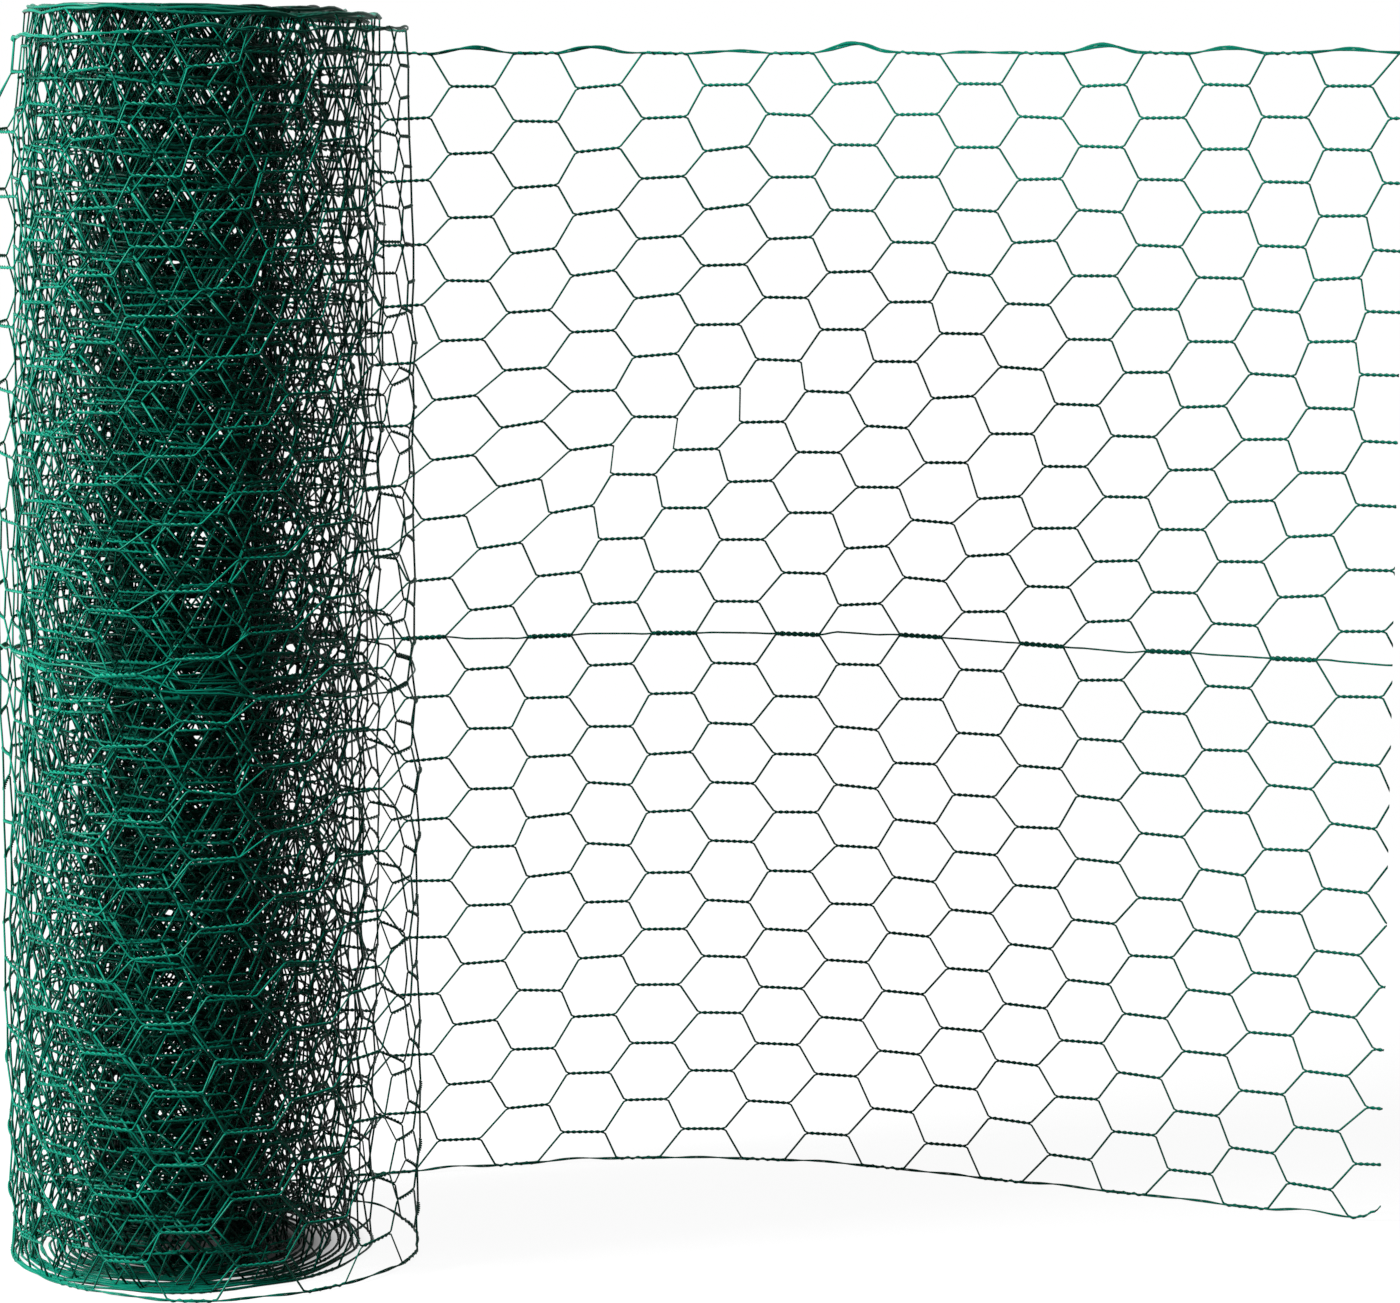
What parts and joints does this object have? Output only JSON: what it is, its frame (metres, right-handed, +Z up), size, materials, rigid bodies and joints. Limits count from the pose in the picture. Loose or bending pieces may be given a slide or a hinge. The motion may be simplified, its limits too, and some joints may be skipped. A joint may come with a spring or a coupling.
{
  "type": "hexagonal wire netting roll",
  "caption": "Roll of coated hexagonal wire netting standing on its end, with a length drawn off and standing on its lower edge.",
  "frame": {"origin": "on the roll's axis at the floor, at the lower end of its bore", "axes": "+Z up along the roll's axis and bore, +X along the drawn-off length towards its cut end, +Y towards the roll's back, where the length leaves it"},
  "size_m": [0.5763, 0.2255, 0.511],
  "materials": {
    "coated_wire": "smooth green PVC coating over thin steel wire, slightly glossy"
  },
  "bodies": {
    "root": {"netting_roll": "coated_wire", "netting_by_roll": "coated_wire", "netting_first_bend": "coated_wire", "netting_second_bend": "coated_wire", "netting_to_cut_end": "coated_wire", "bottom_selvedge_wire": "coated_wire", "centre_line_wire": "coated_wire", "top_selvedge_wire": "coated_wire"}
  },
  "joints": []
}
